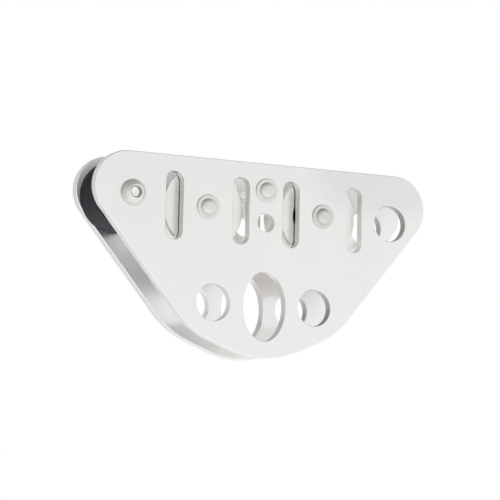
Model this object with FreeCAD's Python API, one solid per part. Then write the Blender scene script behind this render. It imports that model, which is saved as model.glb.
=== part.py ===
import FreeCAD, Part
import math
import os

# Tandem cable trolley, in millimetres.
# The origin lies on the centre line of the cable, halfway between the wheels.
# +X runs along the cable towards the tether hole, +Z is up, and -Y is the bolt head's side.

CABLE_R = 6.0
GROOVE_ROOT_R = 13.0
AXLE_X = 26.1
AXLE_Z = CABLE_R + GROOVE_ROOT_R

# Side plates: a broad keel arc, a blend arc each side, straight flanks and round top corners
PLATE_T = 4.0
PLATE_GAP = 16.0
KEEL_Z = -1.3
KEEL_R = 39.0
BLEND_X = 10.3
BLEND_Z = 1.2
BLEND_R = 37.5
CORNER_X = 60.7
CORNER_Z = 24.7
CORNER_R = 14.0
EDGE_ROUND = 0.4
RIM_BREAK = 0.15

# Openings through both plates
SLOT_XS = (-40.7, -11.4, 11.4, 40.7)
SLOT_Z = 18.7
SLOT_LENGTH = 27.2
SLOT_W = 7.6
EYE_Z = -19.4
EYE_HALF_W = 9.6
EYE_HALF_H = 14.0
ROUND_HOLE_R = 7.5
LOWER_HOLE_X = 22.8
LOWER_HOLE_Z = -18.8
TETHER_X = 58.1
TETHER_Z = 18.4
PIN_HOLE_R = 3.8
PIN_HOLE_Z = 14.6

# Wheels
WHEEL_R = 17.7
WHEEL_W = 14.8
WHEEL_EDGE = 0.6
GROOVE_R = 6.2
GROOVE_LIP = 0.35
SEAT_SHOULDER_R = 9.75
SEAT_LEAD_IN = 0.6

# Ball bearing, 8 x 22 x 7
BORE_R = 4.0
BEARING_R = 11.0
BEARING_W = 7.0
RING_EDGE = 0.3
INNER_LAND_R = 6.05
OUTER_LAND_R = 8.9
SEAL_SEAT_R = 9.6
SEAL_T = 0.6
SEAL_INSET = 0.25
SEAL_EDGE = 0.1
SEAL_LIP_GAP = 0.15
BALL_COUNT = 7
BALL_R = 1.985
BALL_PITCH_R = 7.5
BALL_PLAY = 0.05
RACE_R = 2.08
CAGE_HALF_RADIAL = 0.8
CAGE_BACK = 2.35
CAGE_PRONG = 0.9
CAGE_POCKET_PLAY = 0.08
CAGE_NOTCH_W = 1.1
CAGE_NOTCH_FLOOR = 0.7

# Axles, their bushes, and the tie between the plates
HEAD_R = 5.0
FLANGE_T = 0.6
FLANGE_ROUND = 0.45
CROWN_R = 1.5
CROWN_ROUND = 2.0
BOSS_R = 3.4
BUSH_R = 6.0
BUSH_EDGE = 0.4
TIE_Z = 27.6
SPACER_R = 5.0

# Bumper with its sleeve, bolt, washer and locking nut
BUMPER_X = -58.6
BUMPER_Z = 22.25
BUMPER_R = 14.5
BUMPER_EDGE = 0.5
SLEEVE_R = 5.0
SLEEVE_BORE_R = 3.2
BOLT_R = 3.0
BOLT_LENGTH = 35.0
BOLT_HOLE_R = 3.3
BOLT_TIP = 0.7
BUTTON_R = 5.25
BUTTON_H = 3.3
BUTTON_RIM = 0.4
BUTTON_CROWN_R = 2.8
SOCKET_AF = 4.0
SOCKET_DEPTH = 2.1
SOCKET_CONE = 0.8
SOCKET_MOUTH_R = 2.65
SOCKET_LEAD_IN = 0.45
WASHER_R = 6.0
WASHER_T = 1.6
NUT_AF = 10.0
NUT_HEX_H = 4.4
NUT_H = 6.0
NUT_BEVEL_DEG = 30.0
NUT_COLLAR_R = 4.5
NUT_LIP_R = 3.7
NUT_LIP_T = 0.4
NUT_MOUTH_R = 3.3
INSERT_R = 4.0
INSERT_BACK = 0.1

HALF_GAP = PLATE_GAP / 2
OUTER_Y = HALF_GAP + PLATE_T
AXIS_Y = FreeCAD.Vector(0, 1, 0)


def point(x, z, y=0.0):
    """A point given by its place in the plates' plane, then its depth."""
    return FreeCAD.Vector(x, y, z)


def polar(x, z, radius, angle, y=0.0):
    """The point on a circle in the plates' plane at an angle in radians from +X."""
    return point(x + radius * math.cos(angle), z + radius * math.sin(angle), y)


def turned(profile, x=0.0, z=0.0):
    """Revolve a closed profile, drawn as edges with x as radius, about a Y axis through (x, z)."""
    face = Part.Face(Part.Wire(profile))
    solid = face.revolve(FreeCAD.Vector(0, 0, 0), AXIS_Y, 360)
    solid.translate(point(x, z))
    return solid


def outline(corners):
    """Straight edges through (radius, depth) pairs, back to the first."""
    points = [FreeCAD.Vector(radius, depth, 0) for radius, depth in corners]
    return [Part.LineSegment(a, b).toShape() for a, b in zip(points, points[1:] + points[:1])]


def straight(start, end):
    """One straight edge between two (radius, depth) pairs."""
    return Part.LineSegment(FreeCAD.Vector(*start), FreeCAD.Vector(*end)).toShape()


def arc_on_axis(start, end):
    """The arc between two points of a profile whose centre lies on the turning axis."""
    centre = FreeCAD.Vector(0, (start.dot(start) - end.dot(end)) / (2 * (start.y - end.y)), 0)
    middle = (start + end) * 0.5 - centre
    middle.normalize()
    return Part.Arc(start, centre + middle * start.distanceToPoint(centre), end).toShape()


def tube(outer_r, inner_r, y_from, y_to, edge, x, z):
    """A plain ring about a Y axis, its outer edges broken by a bevel."""
    ring = outline([
        (inner_r, y_from), (outer_r - edge, y_from), (outer_r, y_from + edge),
        (outer_r, y_to - edge), (outer_r - edge, y_to), (inner_r, y_to)])
    return turned(ring, x, z)


def drilled(radius, x, z):
    """A drill through both plates."""
    return Part.makeCylinder(radius, 2 * OUTER_Y, point(x, z, -OUTER_Y), AXIS_Y)


def tangent_angle(first, second):
    """Direction from both centres to the outer tangent of two circles, on the right-hand side."""
    x_a, z_a, r_a = first
    x_b, z_b, r_b = second
    run = math.atan2(z_b - z_a, x_b - x_a)
    span = math.hypot(x_b - x_a, z_b - z_a)
    return run - math.acos((r_a - r_b) / span)


def plate_outline(y):
    """The closed outline of a side plate at one depth, counter-clockwise from the keel."""
    circles = [
        (-CORNER_X, CORNER_Z, CORNER_R), (-BLEND_X, BLEND_Z, BLEND_R), (0.0, KEEL_Z, KEEL_R),
        (BLEND_X, BLEND_Z, BLEND_R), (CORNER_X, CORNER_Z, CORNER_R)]
    ring = circles + circles[:1]
    joins = [tangent_angle(a, b) for a, b in zip(ring, ring[1:])]
    edges = []
    for index, (x, z, radius) in enumerate(circles):
        enter = joins[index - 1]
        leave = joins[index]
        while leave < enter:
            leave += 2 * math.pi
        middle = polar(x, z, radius, (enter + leave) / 2, y)
        start = polar(x, z, radius, enter, y)
        end = polar(x, z, radius, leave, y)
        edges.append(Part.Arc(start, middle, end).toShape())
        x_next, z_next, radius_next = ring[index + 1]
        edges.append(Part.LineSegment(end, polar(x_next, z_next, radius_next, leave, y)).toShape())
    return Part.Wire(edges)


def slot_drill(x):
    """One upright slot with round ends, through both plates."""
    half_w = SLOT_W / 2
    reach = SLOT_LENGTH / 2 - half_w
    block = Part.makeBox(SLOT_W, 2 * OUTER_Y, 2 * reach, point(x - half_w, SLOT_Z - reach, -OUTER_Y))
    ends = [drilled(half_w, x, SLOT_Z + side * reach) for side in (-1, 1)]
    return block.fuse(ends).removeSplitter()


def eye_drill():
    """The tall oval eye for a carabiner."""
    oval = Part.Ellipse(
        point(0, EYE_Z + EYE_HALF_H, -OUTER_Y), point(EYE_HALF_W, EYE_Z, -OUTER_Y),
        point(0, EYE_Z, -OUTER_Y))
    return Part.Face(Part.Wire(oval.toShape())).extrude(AXIS_Y * (2 * OUTER_Y))


def side_plate(y_from):
    """A laser-cut plate with tumbled edges; both plates are the same piece."""
    blank = Part.Face(plate_outline(y_from)).extrude(AXIS_Y * PLATE_T)
    faces = (y_from, y_from + PLATE_T)
    blank = blank.makeFillet(EDGE_ROUND, [edge for edge in blank.Edges if lies_at(edge, faces)])
    rims = [slot_drill(x) for x in SLOT_XS]
    rims.append(eye_drill())
    rims.append(drilled(ROUND_HOLE_R, -LOWER_HOLE_X, LOWER_HOLE_Z))
    rims.append(drilled(ROUND_HOLE_R, LOWER_HOLE_X, LOWER_HOLE_Z))
    rims.append(drilled(ROUND_HOLE_R, TETHER_X, TETHER_Z))
    rims.append(drilled(PIN_HOLE_R, 0, PIN_HOLE_Z))
    plate = blank.cut(rims)
    broken = [edge for edge in plate.Edges if lies_at(edge, faces) and not on_outline(edge)]
    plate = plate.makeChamfer(RIM_BREAK, broken)
    seats = [drilled(BORE_R, side * AXLE_X, AXLE_Z) for side in (-1, 1)]
    seats.append(drilled(BORE_R, 0, TIE_Z))
    seats.append(drilled(BOLT_HOLE_R, BUMPER_X, BUMPER_Z))
    return plate.cut(seats)


def lies_at(edge, depths):
    """Whether an edge lies wholly in one of the given planes across Y."""
    box = edge.BoundBox
    flat = box.YLength < 1e-4
    return flat and any(abs(box.YMin - depth) < 1e-3 for depth in depths)


def on_outline(edge):
    """Whether an edge follows the plate's outer outline and not one of its openings."""
    distance = plate_outline(edge.BoundBox.YMin).distToShape(edge)[0]
    return distance < EDGE_ROUND + RIM_BREAK


def wheel(x, entry_side):
    """A grooved wheel; its bearing goes in from entry_side (-1 front, 1 rear) against a shoulder."""
    half_w = WHEEL_W / 2
    shoulder = BEARING_W / 2
    arc_r = GROOVE_ROOT_R + GROOVE_R
    lip_r = WHEEL_R - GROOVE_LIP
    lip_y = math.sqrt(GROOVE_R ** 2 - (arc_r - lip_r) ** 2)
    land_y = math.sqrt(GROOVE_R ** 2 - (arc_r - WHEEL_R) ** 2) + GROOVE_LIP
    outer = [
        (lip_r, lip_y), (WHEEL_R, land_y), (WHEEL_R, half_w - WHEEL_EDGE),
        (WHEEL_R - WHEEL_EDGE, half_w), (SEAT_SHOULDER_R, half_w), (SEAT_SHOULDER_R, shoulder),
        (BEARING_R, shoulder), (BEARING_R, SEAT_LEAD_IN - half_w),
        (BEARING_R + SEAT_LEAD_IN, -half_w), (WHEEL_R - WHEEL_EDGE, -half_w),
        (WHEEL_R, WHEEL_EDGE - half_w), (WHEEL_R, -land_y), (lip_r, -lip_y)]
    points = [FreeCAD.Vector(radius, -entry_side * depth, 0) for radius, depth in outer]
    root = FreeCAD.Vector(GROOVE_ROOT_R, 0, 0)
    profile = [Part.LineSegment(a, b).toShape() for a, b in zip(points, points[1:])]
    profile.append(Part.Arc(points[-1], root, points[0]).toShape())
    return turned(profile, x, AXLE_Z)


def race_arc(land_r, race_bottom_r):
    """Half width and end points of a ball race cut into a land; the arc passes the race's bottom."""
    inward = race_bottom_r < land_r
    centre_r = race_bottom_r + RACE_R if inward else race_bottom_r - RACE_R
    half = math.sqrt(RACE_R ** 2 - (land_r - centre_r) ** 2)
    return (
        FreeCAD.Vector(land_r, -half, 0), FreeCAD.Vector(race_bottom_r, 0, 0),
        FreeCAD.Vector(land_r, half, 0))


def inner_ring(x):
    """The bearing's inner ring, with a deep race round its outside."""
    low, bottom, high = race_arc(INNER_LAND_R, BALL_PITCH_R - BALL_R - BALL_PLAY)
    half_w = BEARING_W / 2
    corners = [
        (INNER_LAND_R, high.y), (INNER_LAND_R, half_w - RING_EDGE),
        (INNER_LAND_R - RING_EDGE, half_w), (BORE_R, half_w), (BORE_R, -half_w),
        (INNER_LAND_R - RING_EDGE, -half_w), (INNER_LAND_R, RING_EDGE - half_w),
        (INNER_LAND_R, low.y)]
    profile = outline(corners)[:-1]
    profile.append(Part.Arc(low, bottom, high).toShape())
    return turned(profile, x, AXLE_Z)


def outer_ring(x):
    """The bearing's outer ring, with its race and a seat for a seal at each side."""
    low, bottom, high = race_arc(OUTER_LAND_R, BALL_PITCH_R + BALL_R + BALL_PLAY)
    half_w = BEARING_W / 2
    seat_y = half_w - SEAL_INSET - SEAL_T
    corners = [
        (OUTER_LAND_R, high.y), (OUTER_LAND_R, seat_y), (SEAL_SEAT_R, seat_y),
        (SEAL_SEAT_R, half_w), (BEARING_R - RING_EDGE, half_w), (BEARING_R, half_w - RING_EDGE),
        (BEARING_R, RING_EDGE - half_w), (BEARING_R - RING_EDGE, -half_w),
        (SEAL_SEAT_R, -half_w), (SEAL_SEAT_R, -seat_y), (OUTER_LAND_R, -seat_y),
        (OUTER_LAND_R, low.y)]
    profile = outline(corners)[:-1]
    profile.append(Part.Arc(low, bottom, high).toShape())
    return turned(profile, x, AXLE_Z)


def seal(x, side):
    """A thin seal ring seated in the outer ring and just clear of the inner one."""
    outer_face = BEARING_W / 2 - SEAL_INSET
    inner_face = outer_face - SEAL_T
    y_from, y_to = sorted((side * inner_face, side * outer_face))
    return tube(SEAL_SEAT_R, INNER_LAND_R + SEAL_LIP_GAP, y_from, y_to, SEAL_EDGE, x, AXLE_Z)


def ball_angles():
    """The angles of the balls round the bearing."""
    return [2 * math.pi * index / BALL_COUNT for index in range(BALL_COUNT)]


def balls(x):
    """The ball set, one solid to each ball."""
    spheres = [Part.makeSphere(BALL_R, polar(x, AXLE_Z, BALL_PITCH_R, angle)) for angle in ball_angles()]
    return Part.makeCompound(spheres)


def cage(x):
    """A crown cage: a ring behind the balls with a pair of prongs round each of them."""
    inner_r = BALL_PITCH_R - CAGE_HALF_RADIAL
    outer_r = BALL_PITCH_R + CAGE_HALF_RADIAL
    crown = turned(outline([
        (inner_r, -CAGE_PRONG), (outer_r, -CAGE_PRONG), (outer_r, CAGE_BACK),
        (inner_r, CAGE_BACK)]), x, AXLE_Z)
    half_pitch = math.pi / BALL_COUNT
    cuts = []
    for angle in ball_angles():
        pocket = polar(x, AXLE_Z, BALL_PITCH_R, angle)
        cuts.append(Part.makeSphere(BALL_R + CAGE_POCKET_PLAY, pocket))
        notch = Part.makeBox(
            2 * outer_r, CAGE_PRONG + CAGE_NOTCH_FLOOR, CAGE_NOTCH_W,
            FreeCAD.Vector(0, -CAGE_PRONG, -CAGE_NOTCH_W / 2))
        notch.rotate(FreeCAD.Vector(0, 0, 0), AXIS_Y, -math.degrees(angle + half_pitch))
        notch.translate(point(x, AXLE_Z))
        cuts.append(notch)
    return crown.cut(cuts)


def domed_head(side):
    """Half the profile of a pressed head: a rounded boss on a thin flange, down to the plate."""
    seat = side * OUTER_Y
    flange = seat + side * FLANGE_T
    boss_drop = math.sqrt(CROWN_ROUND ** 2 - (BOSS_R - CROWN_R) ** 2)
    ball_y = flange - side * boss_drop
    crown = ball_y + side * CROWN_ROUND
    halfway = math.asin((BOSS_R - CROWN_R) / CROWN_ROUND) / 2
    boss = Part.Arc(
        FreeCAD.Vector(CROWN_R, crown, 0),
        FreeCAD.Vector(
            CROWN_R + CROWN_ROUND * math.sin(halfway),
            ball_y + side * CROWN_ROUND * math.cos(halfway), 0),
        FreeCAD.Vector(BOSS_R, flange, 0)).toShape()
    rim_r = HEAD_R - FLANGE_ROUND
    rim_y = flange - side * FLANGE_ROUND
    slant = FLANGE_ROUND * math.sqrt(0.5)
    rim = Part.Arc(
        FreeCAD.Vector(rim_r, flange, 0),
        FreeCAD.Vector(rim_r + slant, rim_y + side * slant, 0),
        FreeCAD.Vector(HEAD_R, rim_y, 0)).toShape()
    top = straight((0, crown), (CROWN_R, crown))
    land = straight((BOSS_R, flange), (rim_r, flange))
    side_wall = straight((HEAD_R, rim_y), (HEAD_R, seat))
    underside = straight((HEAD_R, seat), (BORE_R, seat))
    return [top, boss, land, rim, side_wall, underside]


def riveted_pin(x, z):
    """A pin through both plates with a pressed head on each."""
    front = domed_head(-1)
    rear = list(reversed(domed_head(1)))
    crown = abs(front[0].Vertexes[0].Y)
    shank = straight((BORE_R, -OUTER_Y), (BORE_R, OUTER_Y))
    axis = straight((0, crown), (0, -crown))
    return turned(front + [shank] + rear + [axis], x, z)


def bush(x, side):
    """The bush that holds the inner ring away from one plate."""
    y_from, y_to = sorted((side * BEARING_W / 2, side * HALF_GAP))
    return tube(BUSH_R, BORE_R, y_from, y_to, BUSH_EDGE, x, AXLE_Z)


def hexagon(across_flats, y_from, height, x, z, first_corner):
    """A hexagonal prism about a Y axis, its first corner at an angle in radians from +X."""
    corner_r = across_flats / math.sqrt(3)
    angles = [first_corner + math.pi * step / 3 for step in range(6)]
    corners = [polar(x, z, corner_r, angle, y_from) for angle in angles]
    return Part.Face(Part.makePolygon(corners + corners[:1])).extrude(AXIS_Y * height)


def button_bolt():
    """A button-head bolt with a hexagon socket; the thread is left plain."""
    seat = -OUTER_Y
    tip = seat + BOLT_LENGTH
    rim = seat - BUTTON_RIM
    crown = seat - BUTTON_H
    dome = arc_on_axis(
        FreeCAD.Vector(BUTTON_R, rim, 0), FreeCAD.Vector(BUTTON_CROWN_R, crown, 0))
    corners = [
        (BUTTON_CROWN_R, crown), (0, crown), (0, tip), (BOLT_R - BOLT_TIP, tip),
        (BOLT_R, tip - BOLT_TIP), (BOLT_R, seat), (BUTTON_R, seat), (BUTTON_R, rim)]
    profile = outline(corners)[:-1]
    profile.append(dome)
    bolt = turned(profile, BUMPER_X, BUMPER_Z)
    socket = hexagon(SOCKET_AF, crown, SOCKET_DEPTH, BUMPER_X, BUMPER_Z, 0.0)
    drill_point = Part.makeCone(
        SOCKET_AF / 2, 0, SOCKET_CONE, point(BUMPER_X, BUMPER_Z, crown + SOCKET_DEPTH), AXIS_Y)
    lead_in = Part.makeCone(
        SOCKET_MOUTH_R, SOCKET_MOUTH_R - SOCKET_LEAD_IN, SOCKET_LEAD_IN,
        point(BUMPER_X, BUMPER_Z, crown), AXIS_Y)
    return bolt.cut([socket, drill_point, lead_in])


def locking_nut():
    """A hexagon nut with a round collar that is rolled over the locking insert."""
    seat = OUTER_Y + WASHER_T
    corner_r = NUT_AF / math.sqrt(3)
    flat_r = NUT_AF / 2
    bevel = (corner_r - flat_r) * math.tan(math.radians(NUT_BEVEL_DEG))
    top = seat + NUT_HEX_H
    hexed = hexagon(NUT_AF, seat, NUT_HEX_H, BUMPER_X, BUMPER_Z, math.pi / 2)
    barrel = turned(outline([
        (0, seat), (flat_r, seat), (corner_r, seat + bevel), (corner_r, top - bevel),
        (flat_r, top), (0, top)]), BUMPER_X, BUMPER_Z)
    end = seat + NUT_H
    collar = turned(outline([
        (0, top), (NUT_COLLAR_R, top), (NUT_COLLAR_R, end - NUT_LIP_T), (NUT_LIP_R, end),
        (0, end)]), BUMPER_X, BUMPER_Z)
    body = hexed.common(barrel).fuse(collar)
    seat_for_insert = Part.makeCylinder(
        INSERT_R, NUT_H - NUT_HEX_H, point(BUMPER_X, BUMPER_Z, top - NUT_LIP_T), AXIS_Y)
    mouth = Part.makeCylinder(NUT_MOUTH_R, NUT_H, point(BUMPER_X, BUMPER_Z, top), AXIS_Y)
    bore = Part.makeCylinder(BOLT_R, NUT_H, point(BUMPER_X, BUMPER_Z, seat), AXIS_Y)
    return body.cut([seat_for_insert, mouth, bore])


def nut_insert():
    """The nylon ring held inside the nut's collar."""
    y_from = OUTER_Y + WASHER_T + NUT_HEX_H - NUT_LIP_T
    y_to = y_from + NUT_H - NUT_HEX_H
    return tube(INSERT_R, BOLT_R, y_from, y_to, INSERT_BACK, BUMPER_X, BUMPER_Z)


def wheel_station(name, x, entry_side):
    """One wheel with its bearing, axle and bushes."""
    return {
        name + "_wheel": wheel(x, entry_side),
        name + "_axle": riveted_pin(x, AXLE_Z),
        name + "_front_bush": bush(x, -1),
        name + "_rear_bush": bush(x, 1),
        name + "_bearing_inner_ring": inner_ring(x),
        name + "_bearing_outer_ring": outer_ring(x),
        name + "_bearing_balls": balls(x),
        name + "_bearing_cage": cage(x),
        name + "_bearing_front_seal": seal(x, -1),
        name + "_bearing_rear_seal": seal(x, 1),
    }


def bumper_station():
    """The bumper at the trolley's closed end and what clamps it."""
    washer_to = OUTER_Y + WASHER_T
    return {
        "bumper": tube(
            BUMPER_R, SLEEVE_R, -HALF_GAP, HALF_GAP, BUMPER_EDGE, BUMPER_X, BUMPER_Z),
        "bumper_sleeve": tube(
            SLEEVE_R, SLEEVE_BORE_R, -HALF_GAP, HALF_GAP, BUSH_EDGE, BUMPER_X, BUMPER_Z),
        "bumper_bolt": button_bolt(),
        "bumper_washer": tube(
            WASHER_R, SLEEVE_BORE_R, OUTER_Y, washer_to, RIM_BREAK, BUMPER_X, BUMPER_Z),
        "bumper_nut": locking_nut(),
        "bumper_nut_insert": nut_insert(),
    }


def trolley():
    """Every piece of the trolley by name."""
    pieces = {
        "front_plate": side_plate(-OUTER_Y),
        "rear_plate": side_plate(HALF_GAP),
        "centre_tie": riveted_pin(0, TIE_Z),
        "centre_spacer": tube(SPACER_R, BORE_R, -HALF_GAP, HALF_GAP, BUSH_EDGE, 0, TIE_Z),
    }
    pieces.update(wheel_station("left", -AXLE_X, 1))
    pieces.update(wheel_station("right", AXLE_X, -1))
    pieces.update(bumper_station())
    return pieces


os.makedirs("parts", exist_ok=True)
for name, shape in trolley().items():
    shape.exportStep("parts/" + name + ".step")
    print(name, len(shape.Solids), shape.isValid(), round(shape.Volume, 2))
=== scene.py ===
"""Looks of a tandem cable trolley: its finishes, its threaded bolt, and a plain studio round it."""

import logging
import math
from dataclasses import dataclass
from enum import Enum
from typing import Sequence, Union

import bmesh
import bpy
from mathutils import Matrix, Vector


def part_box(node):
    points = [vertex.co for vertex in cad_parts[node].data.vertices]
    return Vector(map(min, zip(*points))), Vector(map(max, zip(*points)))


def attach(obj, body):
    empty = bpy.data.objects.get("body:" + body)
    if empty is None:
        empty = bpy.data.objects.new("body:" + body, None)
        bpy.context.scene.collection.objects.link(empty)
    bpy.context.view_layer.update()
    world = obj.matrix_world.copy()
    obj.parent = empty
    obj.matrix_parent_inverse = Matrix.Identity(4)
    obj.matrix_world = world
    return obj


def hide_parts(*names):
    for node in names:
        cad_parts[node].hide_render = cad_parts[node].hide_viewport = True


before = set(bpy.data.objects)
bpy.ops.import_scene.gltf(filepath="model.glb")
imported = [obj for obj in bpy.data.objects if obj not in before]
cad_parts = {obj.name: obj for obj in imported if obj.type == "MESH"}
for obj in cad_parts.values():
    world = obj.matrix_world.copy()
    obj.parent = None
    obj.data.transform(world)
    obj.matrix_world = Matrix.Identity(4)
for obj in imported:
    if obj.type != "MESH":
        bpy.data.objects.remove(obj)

Socket = bpy.types.NodeSocket
Feed = Union[Socket, float, Sequence[float]]
Colour = tuple[float, float, float]
Span = tuple[float, float]

MM = 0.001
OPAQUE = 1.0
HEX_SIDES = 6
MIDDLE: Span = (0.3, 0.7)       # where most of a noise's values lie
WHITE: Colour = (1.0, 1.0, 1.0)
PIN_LIGHT: Colour = (0.840, 0.824, 0.796)
PIN_DARK: Colour = (0.745, 0.726, 0.694)
BUSH_GREY: Colour = (0.70, 0.69, 0.67)
LOG = logging.getLogger("trolley")


class Side(Enum):
    """The side plates and what lies beside each of them."""

    FRONT = "front"
    REAR = "rear"


class Station(Enum):
    """The two wheels, named by where they stand along the cable."""

    LEFT = "left"
    RIGHT = "right"


# painted light and shade: each axle's pin steel is a lighter or darker copy of the tie's
AXLE_SHADES = {Station.LEFT: 0.99, Station.RIGHT: 0.92}     # how light they are beside the tie


class Operation(Enum):
    """The sums that the finishes need, by the name that the sum node takes."""

    ADD = "ADD"
    SUBTRACT = "SUBTRACT"
    MULTIPLY = "MULTIPLY"
    DIVIDE = "DIVIDE"
    ABSOLUTE = "ABSOLUTE"
    ROOT = "SQRT"
    LARGER = "MAXIMUM"
    SMALLER = "MINIMUM"


class Blend(Enum):
    """What a mixing node can mix: its own name for it, and the kind of its sockets."""

    COLOUR = ("RGBA", "RGBA")
    NUMBER = ("FLOAT", "VALUE")


class NodeSet:
    """A tree of shading nodes, with short calls for the sums that the finishes share."""

    def __init__(self, tree: bpy.types.NodeTree) -> None:
        """Start with an empty tree.

        Args:
            tree: The tree that the nodes go into.
        """
        self.tree = tree
        self.tree.nodes.clear()

    def add(self, kind: str, **settings: object) -> bpy.types.Node:
        """Add a node.

        Args:
            kind: The node's type.
            settings: Values for the node's own properties.

        Returns:
            The new node.
        """
        node = self.tree.nodes.new(kind)
        for key, value in settings.items():
            setattr(node, key, value)
        return node

    def feed(self, target: Socket, value: Feed) -> None:
        """Give an input a value, or join another node's output to it.

        Args:
            target: The input.
            value: A number, a point, a colour or another node's output.
        """
        if isinstance(value, bpy.types.NodeSocket):
            self.tree.links.new(value, target)
        elif target.type == "RGBA":
            target.default_value = (*value, OPAQUE)
        else:
            target.default_value = value

    def sum(self, operation: Operation, first: Feed, second: Feed = 0.0) -> Socket:
        """Work out one sum of two numbers.

        Args:
            operation: Which sum.
            first: The first number.
            second: The second number, where the sum has one.

        Returns:
            The result.
        """
        node = self.add("ShaderNodeMath", operation=operation.value)
        self.feed(node.inputs[0], first)
        self.feed(node.inputs[1], second)
        return node.outputs[0]

    def squares(self, first: Socket, second: Socket) -> Socket:
        """The sum of two numbers' squares."""
        return self.sum(
            Operation.ADD, *(self.sum(Operation.MULTIPLY, part, part) for part in (first, second)))

    def off(self, value: Socket, middle: float) -> Socket:
        """How far a value is from a middle, on either side."""
        return self.sum(Operation.ABSOLUTE, self.sum(Operation.SUBTRACT, value, middle))

    def place(self) -> Socket:
        """The point on the piece, in metres in the trolley's own frame."""
        return self.add("ShaderNodeTexCoord").outputs["Object"]

    def parts(self, vector: Socket) -> Sequence[Socket]:
        """Take a vector apart.

        Args:
            vector: The vector.

        Returns:
            Its three numbers.
        """
        node = self.add("ShaderNodeSeparateXYZ")
        self.feed(node.inputs[0], vector)
        return node.outputs

    def from_axis(self, point: Socket, centre: Vector) -> Sequence[Socket]:
        """The point's three numbers, the first and last measured from a line along Y.

        Args:
            point: The point, in metres.
            centre: A point on the line.

        Returns:
            How far across it, along it and above it the point lies.
        """
        away = self.add("ShaderNodeVectorMath", operation="SUBTRACT")
        self.feed(away.inputs[0], point)
        self.feed(away.inputs[1], (centre.x, 0.0, centre.z))
        return self.parts(away.outputs[0])

    def normal(self) -> Sequence[Socket]:
        """The three numbers of the direction that the surface faces in."""
        return self.parts(self.add("ShaderNodeTexCoord").outputs["Normal"])

    def facing(self) -> Socket:
        """How far the surface faces along the axles: 1 on flat faces, 0 on cut walls."""
        return self.sum(Operation.ABSOLUTE, self.normal()[1])

    def upturned(self) -> Socket:
        """How far the surface faces up: 1 on top, -1 on the underside."""
        return self.normal()[2]

    def ray(self, *kinds: str) -> Socket:
        """1 for rays of any of the given kinds, 0 for the rest.

        Args:
            kinds: The kinds, such as Camera or Glossy.

        Returns:
            The value.
        """
        path = self.add("ShaderNodeLightPath")
        total = path.outputs[f"Is {kinds[0]} Ray"]
        for kind in kinds[1:]:
            total = self.sum(Operation.LARGER, total, path.outputs[f"Is {kind} Ray"])
        return total

    def scaled(self, point: Socket, cell_mm: Sequence[float], turn_deg: float) -> Socket:
        """Measure a point in cells, so that a noise on it has features of that size.

        Args:
            point: The point, in metres.
            cell_mm: The cell's size along X, Y and Z.
            turn_deg: A turn about the Y axis, made before the measuring.

        Returns:
            The point in cells.
        """
        if turn_deg:
            turn = self.add("ShaderNodeVectorRotate", rotation_type="Y_AXIS")
            self.feed(turn.inputs["Vector"], point)
            self.feed(turn.inputs["Angle"], math.radians(turn_deg))
            point = turn.outputs[0]
        node = self.add("ShaderNodeVectorMath", operation="MULTIPLY")
        self.feed(node.inputs[0], point)
        self.feed(node.inputs[1], tuple(1 / (size * MM) for size in cell_mm))
        return node.outputs[0]

    def noise(self, point: Socket, detail: float, seed: Feed) -> Socket:
        """Smooth noise from 0 to 1.

        Args:
            point: The point in cells.
            detail: How many finer octaves it has.
            seed: The fourth coordinate, which tells one noise from another.

        Returns:
            The noise's value.
        """
        node = self.add("ShaderNodeTexNoise", noise_dimensions="4D")
        self.feed(node.inputs["Vector"], point)
        self.feed(node.inputs["W"], seed)
        self.feed(node.inputs["Scale"], 1.0)
        self.feed(node.inputs["Detail"], detail)
        return node.outputs["Fac"]

    def ramp(self, value: Socket, span: Span, to: Span = (0.0, 1.0)) -> Socket:
        """Map a value from one span to another, held at both ends.

        Args:
            value: The value.
            span: Where it starts and ends.
            to: What it becomes there.

        Returns:
            The mapped value.
        """
        node = self.add("ShaderNodeMapRange")
        for index, number in enumerate((value, *span, *to)):
            self.feed(node.inputs[index], number)
        return node.outputs[0]

    def rise(self, value: Socket, span: Span, most: float) -> Socket:
        """A share that rises from 0 to its most over a span of the value."""
        return self.ramp(value, span, (0.0, most))

    def blend(self, kind: Blend, factor: Feed, *ends: Feed) -> Socket:
        """Mix two values of one kind.

        Args:
            kind: Their kind.
            factor: The share of the second.
            ends: The first and the second.

        Returns:
            The mixed value.
        """
        data_type, socket_type = kind.value
        node = self.add("ShaderNodeMix", data_type=data_type)
        self.feed(node.inputs[0], factor)
        sockets = [entry for entry in node.inputs[1:] if entry.type == socket_type]
        for target, value in zip(sockets, ends):
            self.feed(target, value)
        return next(output for output in node.outputs if output.type == socket_type)

    def tint(self, factor: Feed, first: Feed, second: Feed) -> Socket:
        """Mix two colours, with the factor as the second's share."""
        return self.blend(Blend.COLOUR, factor, first, second)

    def mix(self, factor: Feed, first: Feed, second: Feed) -> Socket:
        """Mix two numbers, with the factor as the second's share."""
        return self.blend(Blend.NUMBER, factor, first, second)


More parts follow.
